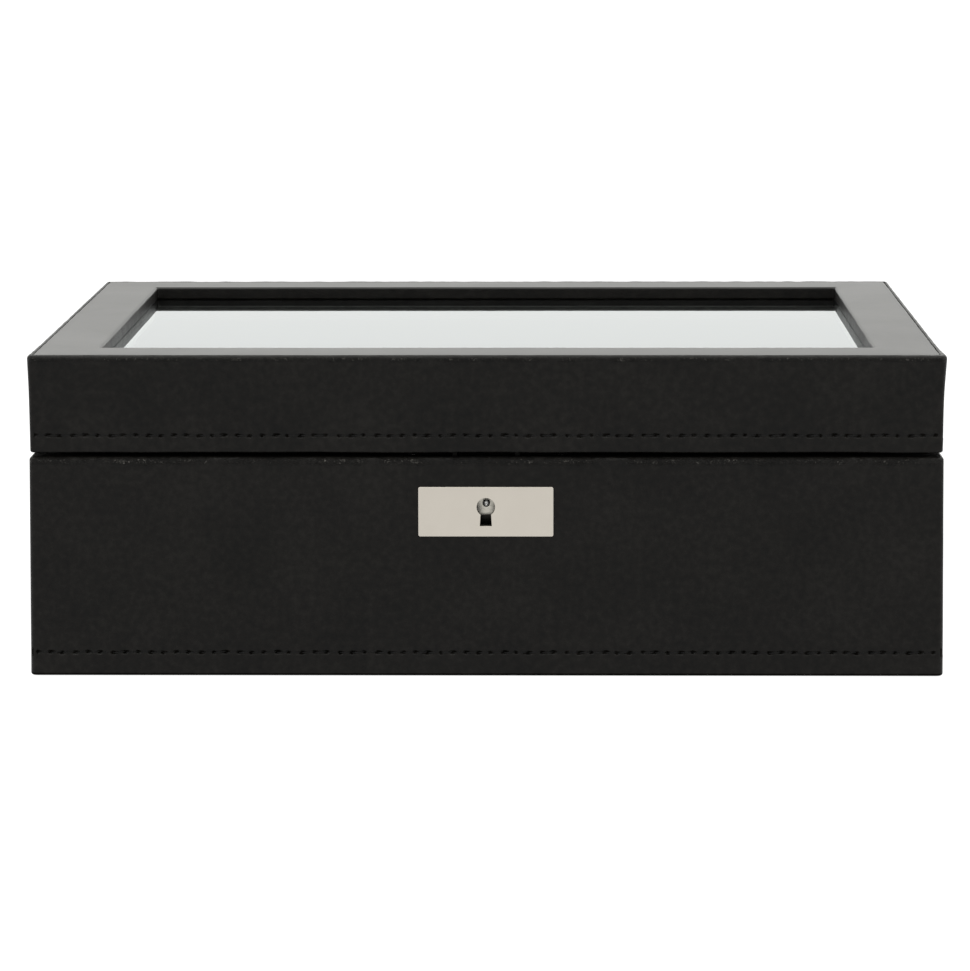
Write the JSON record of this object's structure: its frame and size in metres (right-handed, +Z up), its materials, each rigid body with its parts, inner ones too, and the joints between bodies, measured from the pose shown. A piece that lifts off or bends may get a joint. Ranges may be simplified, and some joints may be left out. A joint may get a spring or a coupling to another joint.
{
  "type": "watch box",
  "caption": "Low rectangular leather covered box with a framed glass lid on butt hinges, a front keyhole plate, divided cells and lift-out watch cushions.",
  "frame": {"origin": "centre of the underside, in the middle of the bounding box", "axes": "+X to the right across the front, +Y from the front with its lock towards the hinges at the back, +Z up"},
  "size_m": [0.292, 0.2536, 0.1036],
  "materials": {
    "leather": "satin black grained leather",
    "suede": "charcoal suede",
    "cushion_fabric": "charcoal plush over foam",
    "felt": "black felt",
    "board": "plain fibreboard",
    "nickel": "satin nickel",
    "steel": "bright steel",
    "glass": "clear polished"
  },
  "bodies": {
    "base": {"base_felt": "felt", "base_floor_board": "board", "base_board_front": "board", "base_board_back": "board", "base_board_left": "board", "base_board_right": "board", "base_cover": "leather", "base_panel_front": "suede", "base_panel_back": "suede", "base_panel_left": "suede", "base_panel_right": "suede", "base_floor_pad": "suede", "divider_long": "suede", "divider_cross_1": "suede", "divider_cross_2": "suede", "divider_cross_3": "suede", "hinge_base_leaf_left": "nickel", "hinge_base_leaf_right": "nickel", "hinge_pin_left": "steel", "hinge_pin_right": "steel", "hinge_screws_base": "steel", "lock_plate": "nickel", "lock_case": "nickel", "lock_cap": "nickel", "lock_post": "steel", "lock_selvage": "nickel", "lock_spring": "steel", "lock_screws": "steel"},
    "lid": {"hinge_lid_leaf_left": "nickel", "hinge_lid_leaf_right": "nickel", "hinge_screws_lid": "steel", "lock_strike": "nickel", "strike_screws": "steel", "lid_wall_front": "board", "lid_wall_back": "board", "lid_wall_left": "board", "lid_wall_right": "board", "lid_frame_board": "board", "lid_cover": "leather", "lid_top_cover": "leather", "lid_lining": "suede", "lid_glass": "glass", "glass_bead_front": "suede", "glass_bead_back": "suede", "glass_bead_left": "suede", "glass_bead_right": "suede"},
    "lock_bolt": {"lock_bolt": "steel"},
    "cushion_1": {"cushion_1": "cushion_fabric"},
    "cushion_2": {"cushion_2": "cushion_fabric"},
    "cushion_3": {"cushion_3": "cushion_fabric"},
    "cushion_4": {"cushion_4": "cushion_fabric"},
    "cushion_5": {"cushion_5": "cushion_fabric"},
    "cushion_6": {"cushion_6": "cushion_fabric"},
    "cushion_7": {"cushion_7": "cushion_fabric"},
    "cushion_8": {"cushion_8": "cushion_fabric"}
  },
  "joints": [
    {"name": "lid_hinge", "type": "hinge", "parent": "base", "child": "lid", "pos_m": [0, 0.12502, 0.0716], "axis": [-1, 0, 0], "range_deg": [0, 100]},
    {"name": "bolt_slide", "type": "slide", "parent": "base", "child": "lock_bolt", "axis": [1, 0, 0], "range_m": [0, 0.005]},
    {"name": "cushion_1_lift", "type": "slide", "parent": "base", "child": "cushion_1", "axis": [0, 0, 1], "range_m": [0, 0.028]},
    {"name": "cushion_2_lift", "type": "slide", "parent": "base", "child": "cushion_2", "axis": [0, 0, 1], "range_m": [0, 0.028]},
    {"name": "cushion_3_lift", "type": "slide", "parent": "base", "child": "cushion_3", "axis": [0, 0, 1], "range_m": [0, 0.028]},
    {"name": "cushion_4_lift", "type": "slide", "parent": "base", "child": "cushion_4", "axis": [0, 0, 1], "range_m": [0, 0.028]},
    {"name": "cushion_5_lift", "type": "slide", "parent": "base", "child": "cushion_5", "axis": [0, 0, 1], "range_m": [0, 0.028]},
    {"name": "cushion_6_lift", "type": "slide", "parent": "base", "child": "cushion_6", "axis": [0, 0, 1], "range_m": [0, 0.028]},
    {"name": "cushion_7_lift", "type": "slide", "parent": "base", "child": "cushion_7", "axis": [0, 0, 1], "range_m": [0, 0.028]},
    {"name": "cushion_8_lift", "type": "slide", "parent": "base", "child": "cushion_8", "axis": [0, 0, 1], "range_m": [0, 0.028]}
  ]
}
